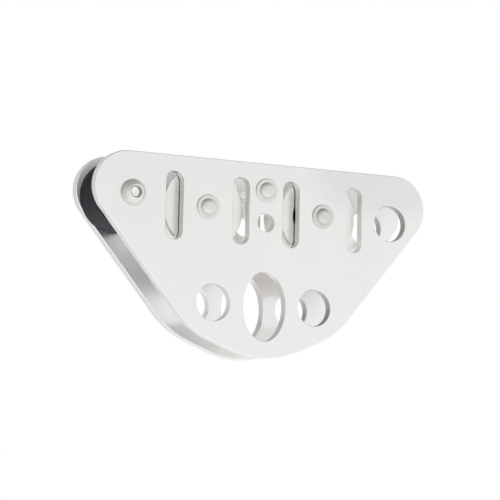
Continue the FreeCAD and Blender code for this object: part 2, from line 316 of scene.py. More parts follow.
class Shader(NodeSet):
    """One material's nodes, round a principled surface."""

    def __init__(self, name: str) -> None:
        """Start a material.

        Args:
            name: The material's name.
        """
        self.material = bpy.data.materials.new(name)
        self.material.use_nodes = True
        super().__init__(self.material.node_tree)
        self.surface = self.add("ShaderNodeBsdfPrincipled")
        output = self.add("ShaderNodeOutputMaterial")
        self.tree.links.new(self.surface.outputs["BSDF"], output.inputs["Surface"])

    def bump(self, *layers: tuple[Socket, float]) -> None:
        """Press heights into the surface.

        Args:
            layers: Pairs of a height from 0 to 1 and its depth in millimetres.
        """
        normal = None
        for height, depth_mm in layers:
            node = self.add("ShaderNodeBump")
            self.feed(node.inputs["Height"], height)
            self.feed(node.inputs["Distance"], depth_mm * MM)
            self.feed(node.inputs["Strength"], 1.0)
            if normal is not None:
                self.feed(node.inputs["Normal"], normal)
            normal = node.outputs["Normal"]
        self.feed(self.surface.inputs["Normal"], normal)

    def set(self, **values: Feed) -> None:
        """Give the surface's own inputs their values.

        Args:
            values: The inputs by name, with low lines for spaces.
        """
        for key, value in values.items():
            self.feed(self.surface.inputs[key.replace("_", " ")], value)


@dataclass(frozen=True)
class Pattern:
    """A noise that a finish is made with: its cell in millimetres, finer octaves and seed."""

    cell_mm: tuple[float, float, float]
    detail: float
    seed: float
    slant_deg: float = 0.0

    def on(self, shader: Shader, point: Socket) -> Socket:
        """The noise's value at a point."""
        cells = shader.scaled(point, self.cell_mm, self.slant_deg)
        return shader.noise(cells, self.detail, self.seed)


def even(cell_mm: float) -> tuple[float, float, float]:
    """A cell that has the same size in all three directions."""
    return (cell_mm, cell_mm, cell_mm)


def metres(span_mm: Span) -> Span:
    """A span in millimetres, turned into metres."""
    return (span_mm[0] * MM, span_mm[1] * MM)


@dataclass(frozen=True)
class SoftPatch:
    """A soft patch of the sheet, on its faces, its cut walls or both, in millimetres.

    It fades over a span of the square of how far out a point is, in reaches.
    """

    centre: Span
    reach: Span
    on_face: float = 0.0
    on_inside: float = 0.0
    on_cut: float = 0.0
    fade: Span = (0.55, 1.45)

    def share(self, shader: Shader, cut: Socket, inner: Socket) -> Socket:
        """How strong the patch is at the point.

        Args:
            shader: The sheet's material.
            cut: 1 on cut walls, 0 on faces.
            inner: 1 on the faces between the plates, 0 on those outside.

        Returns:
            The patch's share, 0 outside it.
        """
        across, _, upward = shader.parts(shader.place())
        away = [
            shader.sum(
                Operation.DIVIDE, shader.sum(Operation.SUBTRACT, part, centre * MM), reach * MM)
            for part, centre, reach in zip((across, upward), self.centre, self.reach)]
        spread = shader.ramp(shader.squares(*away), self.fade, (1.0, 0.0))
        face = shader.mix(inner, self.on_face, self.on_inside)
        return shader.sum(Operation.MULTIPLY, spread, shader.mix(cut, face, self.on_cut))


@dataclass(frozen=True)
class SatinSheet:
    """Laser-cut stainless sheet, satin on its faces, striped by the beam on its cut walls.

    How far the surface faces along the axles tells faces, rims and cut walls apart.
    """

    name: str
    warm: Colour = (0.955, 0.948, 0.930)
    cool: Colour = (0.942, 0.940, 0.944)
    # painted light: the faces between the plates are lighter, and cooler towards the bumper's end
    inside: Colour = (0.978, 0.970, 0.962)
    inside_end: Colour = (0.966, 0.972, 0.980)
    stroke: Colour = (0.55, 0.55, 0.56)
    cut: Colour = (0.935, 0.925, 0.908)
    stripe: Colour = (0.50, 0.485, 0.465)
    # painted highlight on the rounded rims
    highlit_rim: Colour = (1.0, 0.995, 0.985)
    # the colour of the painted shade patches below
    painted_shade: Colour = (0.05, 0.045, 0.04)
    stroke_share: float = 0.035
    stripe_share: float = 0.25
    cut_facing: Span = (0.55, 0.25)
    rim_facing: float = 0.68
    rim_reach: Span = (0.30, 0.20)
    inner_mm: Span = (10.5, 9.5)
    end_mm: Span = (-22.0, -34.0)
    face_roughness: Span = (0.14, 0.46)
    cloud_roughness: Span = (-0.03, 0.03)
    cut_roughness: Span = (0.30, 0.42)
    rim_roughness: float = 0.16
    rubbed_roughness: float = 0.55
    grain: Pattern = Pattern((0.16, 4.0, 14.0), 3.0, 1.0)
    strokes: Pattern = Pattern((0.9, 8.0, 34.0), 2.0, 2.0)
    clouds: Pattern = Pattern((26.0, 26.0, 18.0), 3.0, 3.0)
    pits: Pattern = Pattern(even(0.22), 2.0, 4.0)
    stripes: Pattern = Pattern((0.14, 3.0, 0.14), 2.0, 5.0)
    frost: Pattern = Pattern((0.09, 0.09, 0.12), 0.0, 6.0)
    scratches: tuple[Pattern, Pattern] = (
        Pattern((0.25, 6.0, 22.0), 1.0, 11.0, slant_deg=24.0),
        Pattern((0.25, 6.0, 22.0), 1.0, 12.0, slant_deg=-57.0),
    )
    cloud_span: Span = (0.35, 0.68)
    stripe_span: Span = (0.3, 0.75)
    frost_span: Span = (0.47, 0.70)
    scratch_span: Span = (0.74, 0.78)
    grain_depth_mm: float = 0.0010
    pit_depth_mm: float = 0.0004
    scratch_depth_mm: float = 0.0008
    # painted shade: darker patches on the outer faces, between the plates and on the walls of holes
    # and slots
    shade_patches: tuple[SoftPatch, ...] = (
        SoftPatch((52.0, 38.0), (30.0, 17.0), on_face=0.08, on_inside=0.08),
        SoftPatch((-24.0, -32.2), (16.0, 5.8), on_inside=0.12),
        SoftPatch((22.8, -18.8), (8.6, 8.6), on_cut=0.30),
        SoftPatch((24.3, -22.0), (8.0, 8.0), on_cut=0.50),
        SoftPatch((58.1, 18.4), (8.6, 8.6), on_cut=0.53),
        SoftPatch((59.3, 16.0), (7.5, 7.5), on_cut=0.20),
        SoftPatch((5.0, -30.0), (8.0, 8.0), on_cut=0.32),
        SoftPatch((10.0, -15.0), (6.0, 9.0), on_cut=0.17),
        SoftPatch((-40.7, 18.7), (6.0, 14.0), on_cut=0.23),
        SoftPatch((11.4, 18.7), (6.0, 14.0), on_cut=0.19),
    )
    rubbed: SoftPatch = SoftPatch((-57.9, 28.0), (21.0, 16.0), on_inside=1.0)

    def make(self) -> bpy.types.Material:
        """Build the material.

        Returns:
            The material.
        """
        shader = Shader(self.name)
        point = shader.place()
        facing = shader.facing()
        cut = shader.ramp(facing, self.cut_facing)
        # the rims get a painted highlight as well as a smoother finish
        highlit_rim = shader.ramp(shader.off(facing, self.rim_facing), self.rim_reach)
        outward = shader.sum(Operation.ABSOLUTE, shader.parts(point)[1])
        inner = shader.ramp(outward, metres(self.inner_mm))
        clouds = self.clouds.on(shader, point)
        stripes = self.stripes.on(shader, point)
        striped = shader.rise(stripes, self.stripe_span, self.stripe_share)
        cut_colour = shader.tint(striped, self.cut, self.stripe)
        colour = shader.tint(cut, self.face_colour(shader, point, clouds, inner), cut_colour)
        # darken the sheet with painted shade, patch by patch
        for shade_patch in self.shade_patches:
            colour = shader.tint(shade_patch.share(shader, cut, inner), colour, self.painted_shade)
        frosted = shader.ramp(self.frost.on(shader, point), self.frost_span, self.face_roughness)
        clouded = shader.ramp(clouds, MIDDLE, self.cloud_roughness)
        rubbed = self.rubbed.share(shader, cut, inner)
        face_rough = shader.mix(
            rubbed, shader.sum(Operation.ADD, frosted, clouded), self.rubbed_roughness)
        rough = shader.mix(cut, face_rough, shader.ramp(stripes, MIDDLE, self.cut_roughness))
        shader.set(
            Base_Color=shader.tint(highlit_rim, colour, self.highlit_rim), Metallic=1.0,
            Roughness=shader.mix(highlit_rim, rough, self.rim_roughness))
        shader.bump(
            (shader.mix(cut, self.grain.on(shader, point), stripes), self.grain_depth_mm),
            (self.pits.on(shader, point), self.pit_depth_mm),
            (self.hairlines(shader, point), self.scratch_depth_mm))
        return shader.material

    def face_colour(
            self, shader: Shader, point: Socket, clouds: Socket, inner: Socket) -> Socket:
        """The faces' colour: clouded, stroked, with painted light between the plates, colder at the
        bumper's end.

        Args:
            shader: The material that it goes into.
            point: The point on the piece.
            clouds: The noise that clouds it.
            inner: 1 on the faces between the plates, 0 on those outside.

        Returns:
            The colour.
        """
        outside = shader.tint(shader.ramp(clouds, self.cloud_span), self.warm, self.cool)
        # painted light between the plates, cooler towards the bumper's end
        end = shader.ramp(shader.parts(point)[0], metres(self.end_mm))
        inside = shader.tint(end, self.inside, self.inside_end)
        stroked = shader.rise(self.strokes.on(shader, point), MIDDLE, self.stroke_share)
        return shader.tint(stroked, shader.tint(inner, outside, inside), self.stroke)

    def hairlines(self, shader: Shader, point: Socket) -> Socket:
        """A few fine scratches that cross the satin at two slants.

        Args:
            shader: The material that they go into.
            point: The point on the piece.

        Returns:
            Their height, 0 in a scratch and 1 beside it.
        """
        heights = [
            shader.ramp(lines.on(shader, point), self.scratch_span, (1.0, 0.0))
            for lines in self.scratches]
        return shader.sum(Operation.MULTIPLY, *heights)


@dataclass(frozen=True)
class TurnedSteel:
    """Steel turned on a lathe, with fine rings about an axle's line, and painted shade on its
    flanks where asked.
    """

    name: str
    colour: Colour = (0.955, 0.944, 0.920)
    dark: Colour = (0.840, 0.824, 0.796)
    roughness: float = 0.26
    line_mm: float = 0.14
    depth_mm: float = 0.0016
    ring_detail: float = 2.0
    ring_spread: Span = (-0.05, 0.08)
    lines_per_band: float = 9.0
    band_detail: float = 1.0
    band_span: Span = (0.3, 0.8)
    band_share: float = 0.45
    band_to_ring_depth: float = 2.0
    smears: Pattern = Pattern(even(5.0), 3.0, 7.0)
    smear_spread: Span = (-0.03, 0.04)
    least_r_mm: float = 0.05
    # painted shade on the flanks, weaker on the faces that look down
    flank_shade: float = 0.0
    flank_shade_colour: Colour = (0.16, 0.15, 0.14)
    flank_shade_facing: Span = (0.90, 0.30)
    flank_shade_upturned: Span = (-0.40, 0.10)
    flank_shade_beneath: float = 0.35

    def make(self, centre: Vector) -> bpy.types.Material:
        """Build the material.

        Args:
            centre: A point on the line that the piece was turned about, in metres.

        Returns:
            The material.
        """
        shader = Shader(self.name)
        point = shader.place()
        across, along, upward = shader.from_axis(point, centre)
        radius = shader.sum(Operation.ROOT, shader.squares(across, upward))
        safe = shader.sum(Operation.LARGER, radius, self.least_r_mm * MM)
        turns = [shader.sum(Operation.DIVIDE, part, safe) for part in (across, upward)]
        band_mm = self.lines_per_band * self.line_mm
        rings = self.ring_noise(shader, radius, along, turns, self.line_mm, self.ring_detail)
        bands = self.ring_noise(shader, radius, along, turns, band_mm, self.band_detail)
        banded = shader.rise(bands, self.band_span, self.band_share)
        colour = shader.tint(banded, self.colour, self.dark)
        # painted shade: darker flanks, less so where they face down
        if self.flank_shade:
            flank = shader.rise(shader.facing(), self.flank_shade_facing, self.flank_shade)
            upper = shader.ramp(shader.upturned(), self.flank_shade_upturned, (self.flank_shade_beneath, 1.0))
            flank_shaded = shader.sum(Operation.MULTIPLY, flank, upper)
            colour = shader.tint(flank_shaded, colour, self.flank_shade_colour)
        least, most = (self.roughness + spread for spread in self.ring_spread)
        ringed = shader.ramp(rings, MIDDLE, (least, most))
        smeared = shader.ramp(self.smears.on(shader, point), MIDDLE, self.smear_spread)
        shader.set(
            Base_Color=colour, Metallic=1.0,
            Roughness=shader.sum(Operation.ADD, ringed, smeared))
        shader.bump((rings, self.depth_mm), (bands, self.band_to_ring_depth * self.depth_mm))
        return shader.material

    @staticmethod
    def ring_noise(
            shader: Shader, radius: Socket, depth: Socket, turns: Sequence[Socket],
            line_mm: float, detail: float) -> Socket:
        """Noise that runs in rings and changes only slowly round them.

        Args:
            shader: The material that it goes into.
            radius: The distance from the axle's line.
            depth: The place along the axle's line.
            turns: The cosine and sine of the angle round it.
            line_mm: The rings' width.
            detail: How many finer octaves it has.

        Returns:
            The noise's value.
        """
        cells = shader.add("ShaderNodeCombineXYZ")
        shader.feed(cells.inputs["X"], shader.sum(Operation.DIVIDE, radius, line_mm * MM))
        shader.feed(cells.inputs["Y"], shader.sum(Operation.DIVIDE, depth, line_mm * MM))
        shader.feed(cells.inputs["Z"], turns[0])
        return shader.noise(cells.outputs[0], detail, turns[1])


@dataclass(frozen=True)
class PolishedSteel:
    """Bearing steel, ground and polished."""

    name: str
    colour: Colour = (0.74, 0.74, 0.75)
    film_colour: Colour = (0.62, 0.60, 0.57)
    roughness: Span = (0.10, 0.18)
    film: Pattern = Pattern(even(1.6), 3.0, 1.0)
    film_span: Span = (0.3, 0.75)
    film_share: float = 0.3
    lines: Pattern = Pattern((2.5, 0.08, 2.5), 2.0, 2.0)
    line_depth_mm: float = 0.0004

    def make(self) -> bpy.types.Material:
        """Build the material.

        Returns:
            The material.
        """
        shader = Shader(self.name)
        point = shader.place()
        film = self.film.on(shader, point)
        filmed = shader.rise(film, self.film_span, self.film_share)
        shader.set(
            Base_Color=shader.tint(filmed, self.colour, self.film_colour), Metallic=1.0,
            Roughness=shader.ramp(film, MIDDLE, self.roughness))
        shader.bump((self.lines.on(shader, point), self.line_depth_mm))
        return shader.material


@dataclass(frozen=True)
class ForgedSteel:
    """A stainless fastener, formed cold, bright where it is flat.

    It has a faint orange peel and painted shade on its flanks, lighter on those that face down,
    and in its socket a painted shadow ring round a floor with a painted highlight.
    """

    name: str
    flat: Colour = (0.930, 0.915, 0.890)
    # painted shade on the flanks, and lighter painted light on the faces that look down
    flank: Colour = (0.400, 0.378, 0.340)
    underside: Colour = (0.66, 0.645, 0.62)
    # painted highlight on the socket's floor
    socket_highlight: Colour = (1.0, 0.992, 0.98)
    # painted shadow ring where the socket's floor meets its walls
    socket_shade: Colour = (0.10, 0.09, 0.08)
    speck: Colour = (0.36, 0.34, 0.31)
    patch: Colour = (0.60, 0.57, 0.53)
    flat_facing: Span = (0.05, 0.95)
    flank_upturned: Span = (-0.60, 0.0)
    socket_highlight_r_mm: Span = (2.0, 1.8)
    socket_shade_r_mm: float = 2.18
    socket_shade_reach_mm: Span = (0.16, 0.32)
    socket_shade_share: float = 0.45
    speck_share: float = 0.3
    patch_share: float = 0.25
    roughness: Span = (0.09, 0.23)
    peel: Pattern = Pattern(even(1.3), 3.0, 1.0)
    specks: Pattern = Pattern(even(0.2), 2.0, 2.0)
    patches: Pattern = Pattern(even(3.2), 2.0, 3.0)
    speck_span: Span = (0.6, 0.8)
    patch_span: Span = (0.4, 0.7)
    peel_depth_mm: float = 0.030
    speck_depth_mm: float = 0.0008

    def make(self, centre: Vector) -> bpy.types.Material:
        """Build the material.

        Args:
            centre: A point on the bolt's axis, in metres.

        Returns:
            The material.
        """
        shader = Shader(self.name)
        point = shader.place()
        across, _, upward = shader.from_axis(point, centre)
        radius = shader.sum(Operation.ROOT, shader.squares(across, upward))
        peel = self.peel.on(shader, point)
        specks = self.specks.on(shader, point)
        # painted shade: flanks dark unless they face down; flat faces keep the steel's colour
        upper = shader.ramp(shader.upturned(), self.flank_upturned)
        flat = shader.ramp(shader.facing(), self.flat_facing)
        # painted highlight: the socket's floor is lighter
        socket_highlight = shader.ramp(radius, metres(self.socket_highlight_r_mm))
        # painted shadow: a dark ring in the socket's corner
        socket_shaded = shader.ramp(
            shader.off(radius, self.socket_shade_r_mm * MM), metres(self.socket_shade_reach_mm),
            (self.socket_shade_share, 0.0))
        specked = shader.rise(specks, self.speck_span, self.speck_share)
        patched = shader.rise(self.patches.on(shader, point), self.patch_span, self.patch_share)
        colour: Feed = self.underside
        for share, layer in (
                (upper, self.flank), (flat, self.flat), (socket_highlight, self.socket_highlight), (socket_shaded, self.socket_shade),
                (specked, self.speck), (patched, self.patch)):
            colour = shader.tint(share, colour, layer)
        shader.set(
            Base_Color=colour, Metallic=1.0, Roughness=shader.ramp(peel, MIDDLE, self.roughness))
        shader.bump((peel, self.peel_depth_mm), (specks, self.speck_depth_mm))
        return shader.material


@dataclass(frozen=True)
class Rubber:
    """Black rubber with a dull skin, a little grey bloom, and painted light towards its underside,
    broken into specks.
    """

    name: str
    colour: Colour = (0.006, 0.006, 0.009)
    bloom: Colour = (0.015, 0.014, 0.020)
    # painted light towards the underside
    underside_light: Colour = (0.080, 0.083, 0.094)
    underside_light_mm: Span = (24.0, 4.0)
    underside_light_share: Span = (0.5, 1.0)
    roughness: Span = (0.40, 0.60)
    specular: float = 0.05
    skin: Pattern = Pattern(even(0.3), 4.0, 1.0)
    skin_depth_mm: float = 0.06
    dust: Pattern = Pattern((7.0, 4.0, 7.0), 5.0, 2.0)
    dust_span: Span = (0.5, 0.8)
    dust_share: float = 0.4
    dull_span: Span = (0.35, 0.7)
    specks: Pattern = Pattern(even(0.6), 1.0, 3.0)
    speck_span: Span = (0.35, 0.75)
    speck_share: float = 0.6

    def make(self) -> bpy.types.Material:
        """Build the material.

        Returns:
            The material.
        """
        shader = Shader(self.name)
        point = shader.place()
        dust = self.dust.on(shader, point)
        specks = self.specks.on(shader, point)
        dusty = shader.rise(dust, self.dust_span, self.dust_share)
        specked = shader.rise(specks, self.speck_span, self.speck_share)
        # painted light: lighter towards the bottom, broken into specks
        lower = shader.ramp(shader.parts(point)[2], metres(self.underside_light_mm))
        broken = shader.ramp(specks, MIDDLE, self.underside_light_share)
        bloomed = shader.tint(
            shader.sum(Operation.ADD, dusty, specked), self.colour, self.bloom)
        underside_lit = shader.sum(Operation.MULTIPLY, broken, lower)
        shader.set(
            Base_Color=shader.tint(underside_lit, bloomed, self.underside_light),
            Roughness=shader.ramp(dust, self.dull_span, self.roughness),
            Specular_IOR_Level=self.specular)
        shader.bump((self.skin.on(shader, point), self.skin_depth_mm))
        return shader.material


@dataclass(frozen=True)
class Nylon:
    """Moulded nylon, a little cloudy inside."""

    name: str
    colour: Colour = (0.70, 0.63, 0.47)
    shade: Colour = (0.58, 0.51, 0.37)
    roughness: Span = (0.38, 0.50)
    inner_light: float = 0.15
    inner_reach_mm: float = 0.8
    flow: Pattern = Pattern(even(2.2), 3.0, 1.0)
    skin: Pattern = Pattern(even(0.15), 2.0, 2.0)
    skin_depth_mm: float = 0.003

    def make(self) -> bpy.types.Material:
        """Build the material.

        Returns:
            The material.
        """
        shader = Shader(self.name)
        point = shader.place()
        flow = self.flow.on(shader, point)
        shader.set(
            Base_Color=shader.tint(shader.ramp(flow, MIDDLE), self.colour, self.shade),
            Roughness=shader.ramp(flow, MIDDLE, self.roughness),
            Subsurface_Weight=self.inner_light, Subsurface_Scale=self.inner_reach_mm * MM)
        shader.bump((self.skin.on(shader, point), self.skin_depth_mm))
        return shader.material


def pressed_pin(name: str, shade: float = 1.0) -> TurnedSteel:
    """The finish of a pin whose heads were pressed up: greyer and smoother than the sheet, with
    painted shade on its flanks.

    Args:
        name: The material's name.
        shade: How light the steel is beside the other pins', as painted light and shade.

    Returns:
        The finish.
    """
    colour, dark = (tuple(part * shade for part in base) for base in (PIN_LIGHT, PIN_DARK))
    return TurnedSteel(
        name, colour=colour, dark=dark, roughness=0.10, line_mm=0.16, depth_mm=0.0006,
        flank_shade=0.55)


def centre_of(node: str) -> Vector:
    """The middle of a node's box, in metres."""
    low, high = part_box(node)
    return (low + high) / 2


def dress(node: str, material: bpy.types.Material) -> None:
    """Give a carried-over node its finish.

    Args:
        node: The node's name.
        material: The finish.
    """
    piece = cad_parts[node]
    for slot in piece.material_slots:
        slot.material = material
    LOG.info("dressed %s with %s", node, material.name)


@dataclass
class SidePlates:
    """The two side plates, their centre tie and its spacer."""

    sheet: SatinSheet = SatinSheet("satin_sheet")
    pin: TurnedSteel = pressed_pin("tie_head_steel")
    spacer: TurnedSteel = TurnedSteel(
        "spacer_steel", colour=(0.96, 0.95, 0.92), dark=(0.70, 0.69, 0.66), roughness=0.06,
        line_mm=0.4, depth_mm=0.0006)

    def dress(self) -> None:
        """Dress the plates and what ties them together."""
        sheet = self.sheet.make()
        for side in Side:
            dress(side.value + "_plate", sheet)
        dress("centre_tie", self.pin.make(centre_of("centre_tie")))
        dress("centre_spacer", self.spacer.make(centre_of("centre_spacer")))


@dataclass
class WheelStation:
    """One wheel with its axle, bushes and ball bearing."""

    station: Station
    axle_shade: float

    def dress(self) -> None:
        """Dress every piece about one axle."""
        name = self.station.value
        centre = centre_of(name + "_wheel")
        dress(name + "_wheel", TurnedSteel(name + "_wheel_steel").make(centre))
        dress(name + "_axle", pressed_pin(name + "_axle_steel", self.axle_shade).make(centre))
        bush = TurnedSteel(name + "_bush_steel", colour=BUSH_GREY).make(centre)
        for side in Side:
            dress(f"{name}_{side.value}_bush", bush)
        ring = TurnedSteel(
            name + "_ring_steel", colour=(0.72, 0.72, 0.73), dark=(0.64, 0.63, 0.62),
            roughness=0.14, line_mm=0.06, depth_mm=0.0004).make(centre)
        dress(name + "_bearing_inner_ring", ring)
        dress(name + "_bearing_outer_ring", ring)
        dress(name + "_bearing_balls", PolishedSteel(name + "_ball_steel").make())
        dress(name + "_bearing_cage", Nylon(name + "_cage_nylon").make())
        seal = Rubber(name + "_seal_rubber", skin=Pattern(even(0.25), 4.0, 1.0)).make()
        for side in Side:
            dress(f"{name}_bearing_{side.value}_seal", seal)


def add_ring(
        mesh: bmesh.types.BMesh, places: Sequence[Span],
        angles: Sequence[float]) -> list[bmesh.types.BMVert]:
    """Add a ring of points about the Y axis.

    Args:
        mesh: The mesh that they go into.
        places: Each point's radius and depth along the axis, in millimetres.
        angles: Each point's angle round the axis, in radians.

    Returns:
        The points.
    """
    return [
        mesh.verts.new((radius * math.cos(angle) * MM, depth * MM, radius * math.sin(angle) * MM))
        for (radius, depth), angle in zip(places, angles)]


def join_rings(mesh: bmesh.types.BMesh, rings: Sequence[list[bmesh.types.BMVert]]) -> None:
    """Put faces between each ring and the next.

    Args:
        mesh: The mesh that they go into.
        rings: Rings with as many points each.
    """
    for first, second in zip(rings, rings[1:]):
        for index in range(len(first)):
            after = (index + 1) % len(first)
            mesh.faces.new((first[index], first[after], second[after], second[index]))


def close_ring(mesh: bmesh.types.BMesh, ring: list[bmesh.types.BMVert], depth: float) -> None:
    """Close a ring with faces that meet in a point on the axis.

    Args:
        mesh: The mesh that they go into.
        ring: The ring.
        depth: The point's depth along the axis, in millimetres.
    """
    hub = mesh.verts.new((0.0, depth * MM, 0.0))
    for index, vertex in enumerate(ring):
        mesh.faces.new((hub, vertex, ring[(index + 1) % len(ring)]))


def store(mesh: bmesh.types.BMesh, name: str) -> bpy.types.Mesh:
    """Turn a mesh's faces outward and keep it.

    Args:
        mesh: The mesh, which is used up.
        name: The name to keep it under.

    Returns:
        The kept mesh.
    """
    bmesh.ops.recalc_face_normals(mesh, faces=mesh.faces)
    data = bpy.data.meshes.new(name)
    mesh.to_mesh(data)
    mesh.free()
    return data


@dataclass
class ButtonBolt:
    """The bumper's button-head bolt with its rolled thread, its lengths in millimetres."""

    head_r: float = 5.25
    head_h: float = 3.3
    rim_h: float = 0.4
    crown_r: float = 2.8
    dome_steps: int = 14
    edge: float = 0.18
    socket_flats: float = 4.0
    socket_depth: float = 2.1
    socket_cone: float = 0.8
    cone_share: float = 0.8
    cutter_spare: float = 1.0
    mouth_r: float = 2.50
    lead_in: float = 0.35
    thread_r: float = 3.0
    root_r: float = 2.4
    root_flat: float = 0.12
    flank_share: float = 0.66
    pitch: float = 1.0
    run_in: float = 1.5
    tip_bevel: float = 0.7
    neck: float = 4.0
    segments: int = 72
    steps_per_turn: int = 12
    broken_edge: float = 0.12
    broken_steps: int = 2
    broken_above_deg: float = 50.0
    sharp_above_deg: float = 28.0

    def outline(self) -> list[Span]:
        """The bolt's outline, from inside the socket's mouth to the end of its neck.

        Returns:
            The outline's points as radius and depth, with depth 0 at the head's seat.
        """
        rise = self.head_h - self.rim_h
        below = (self.head_r ** 2 - self.crown_r ** 2 - rise ** 2) / (2 * rise)
        dome_r = math.hypot(self.head_r, below)
        first = math.atan2(rise + below, self.crown_r)
        last = math.atan2(below, self.head_r)
        points = [
            (self.mouth_r - self.lead_in, self.lead_in - self.head_h),
            (self.mouth_r, -self.head_h)]
        for index in range(self.dome_steps + 1):
            angle = first + (last - first) * index / self.dome_steps
            points.append(
                (dome_r * math.cos(angle), -self.rim_h - dome_r * math.sin(angle) + below))
        points += [(self.head_r, -self.edge), (self.head_r - self.edge, 0.0)]
        points += [(self.thread_r, 0.0), (self.thread_r, self.neck)]
        return points

    def thread_radius(self, depth: float, angle: float, length: float) -> float:
        """The radius of the thread's surface at one place.

        Args:
            depth: The distance from the head's seat.
            angle: The angle round the bolt in radians.
            length: The length under the head.

        Returns:
            The radius.
        """
        phase = (depth / self.pitch - angle / (2 * math.pi)) % 1.0
        ridge = 1 - abs(2 * phase - 1)
        flank = min(1.0, max(0.0, (ridge - self.root_flat) / self.flank_share))
        radius = self.root_r + (self.thread_r - self.root_r) * flank
        run_in = min(1.0, (depth - self.neck) / self.run_in)
        radius = self.thread_r + (radius - self.thread_r) * run_in
        return min(radius, self.thread_r - self.tip_bevel + max(0.0, length - depth))

    def skin(self, length: float) -> bpy.types.Mesh:
        """Build the bolt about the Y axis, its seat at depth 0 and its head towards -Y.

        Args:
            length: The length under the head.

        Returns:
            The mesh, in metres.
        """
        mesh = bmesh.new()
        angles = [2 * math.pi * index / self.segments for index in range(self.segments)]
        rings = [[place] * self.segments for place in self.outline()]
        count = int(round((length - self.neck) / self.pitch * self.steps_per_turn))
        for step in range(1, count + 1):
            depth = self.neck + (length - self.neck) * step / count
            rings.append([(self.thread_radius(depth, angle, length), depth) for angle in angles])
        loops = [add_ring(mesh, ring, angles) for ring in rings]
        join_rings(mesh, loops)
        close_ring(mesh, loops[0], self.lead_in - self.head_h)
        close_ring(mesh, loops[-1], length)
        return store(mesh, "threaded_bolt")

    def socket(self) -> bpy.types.Mesh:
        """The hexagon that is cut into the head, with the point that its drill left.

        Returns:
            The mesh, in metres, with a corner of the hexagon along X.
        """
        mesh = bmesh.new()
        corner = self.socket_flats / math.sqrt(3)
        floor = self.socket_depth - self.head_h
        angles = [2 * math.pi * side / HEX_SIDES for side in range(HEX_SIDES)]
        loops = [
            add_ring(mesh, [place] * HEX_SIDES, angles) for place in (
                (corner, -self.head_h - self.cutter_spare), (corner, floor),
                (self.cone_share * corner, floor))]
        join_rings(mesh, loops)
        mesh.faces.new(loops[0])
        close_ring(mesh, loops[-1], floor + self.socket_cone)
        return store(mesh, "socket_cutter")

    def cut_and_break(self, bolt: bpy.types.Object) -> bpy.types.Mesh:
        """Cut the socket into the bolt and break the edges.

        Args:
            bolt: The bolt, which keeps its own mesh.

        Returns:
            The cut mesh.
        """
        cutter = bpy.data.objects.new("socket_cutter", self.socket())
        bpy.context.scene.collection.objects.link(cutter)
        cut = bolt.modifiers.new("socket", "BOOLEAN")
        cut.operation = "DIFFERENCE"
        cut.solver = "EXACT"
        cut.object = cutter
        bevel = bolt.modifiers.new("broken_edges", "BEVEL")
        bevel.width = self.broken_edge * MM
        bevel.segments = self.broken_steps
        bevel.limit_method = "ANGLE"
        bevel.angle_limit = math.radians(self.broken_above_deg)
        graph = bpy.context.evaluated_depsgraph_get()
        made = bpy.data.meshes.new_from_object(bolt.evaluated_get(graph))
        bolt.modifiers.clear()
        bpy.data.objects.remove(cutter)
        return made

    def build(self, finish: bpy.types.Material) -> None:
        """Build the bolt where its node is, in place of the plain one.

        Args:
            finish: The bolt's material.
        """
        low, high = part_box("bumper_bolt")
        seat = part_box("front_plate")[0].y
        bolt = bpy.data.objects.new("threaded_bolt", self.skin((high.y - seat) / MM))
        bpy.context.scene.collection.objects.link(bolt)
        made = self.cut_and_break(bolt)
        bolt.data = made
        made.materials.clear()
        made.materials.append(finish)
        made.shade_smooth()
        made.set_sharp_from_angle(angle=math.radians(self.sharp_above_deg))
        made.transform(Matrix.Translation(((low.x + high.x) / 2, seat, (low.z + high.z) / 2)))
        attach(bolt, "frame")
        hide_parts("bumper_bolt")
        LOG.info("built %s with %d faces", bolt.name, len(made.polygons))


@dataclass
class BumperStation:
    """The rubber bumper and what clamps it between the plates."""

    bolt: ButtonBolt
    rubber: Rubber = Rubber("bumper_rubber")
    sleeve: TurnedSteel = TurnedSteel("sleeve_steel", colour=BUSH_GREY)
    washer: TurnedSteel = TurnedSteel("washer_steel", line_mm=0.25, roughness=0.3)
    fastener: ForgedSteel = ForgedSteel("fastener_steel")
    insert: Nylon = Nylon("insert_nylon", (0.84, 0.84, 0.80), (0.74, 0.74, 0.70))

    def dress(self) -> None:
        """Dress the bumper's pieces and build its bolt."""
        centre = centre_of("bumper")
        steel = self.fastener.make(centre)
        dress("bumper", self.rubber.make())
        dress("bumper_sleeve", self.sleeve.make(centre))
        dress("bumper_washer", self.washer.make(centre))
        dress("bumper_nut", steel)
        dress("bumper_nut_insert", self.insert.make())
        self.bolt.build(steel)


@dataclass(frozen=True)
class Softbox:
    """A large square lamp aimed at the trolley, which the metal doesn't mirror."""

    name: str
    place_m: tuple[float, float, float]
    size_m: float
    power_w: float

    def build(self) -> None:
        """Hang the lamp."""
        data = bpy.data.lights.new(self.name, "AREA")
        data.shape = "SQUARE"
        data.size = self.size_m
        data.energy = self.power_w
        lamp = bpy.data.objects.new(self.name, data)
        lamp.visible_glossy = False
        bpy.context.scene.collection.objects.link(lamp)
        place = Vector(self.place_m)
        turn = (-place).to_track_quat("-Z", "Y").to_matrix().to_4x4()
        lamp.matrix_world = Matrix.Translation(place) @ turn
        LOG.info("hung %s", self.name)


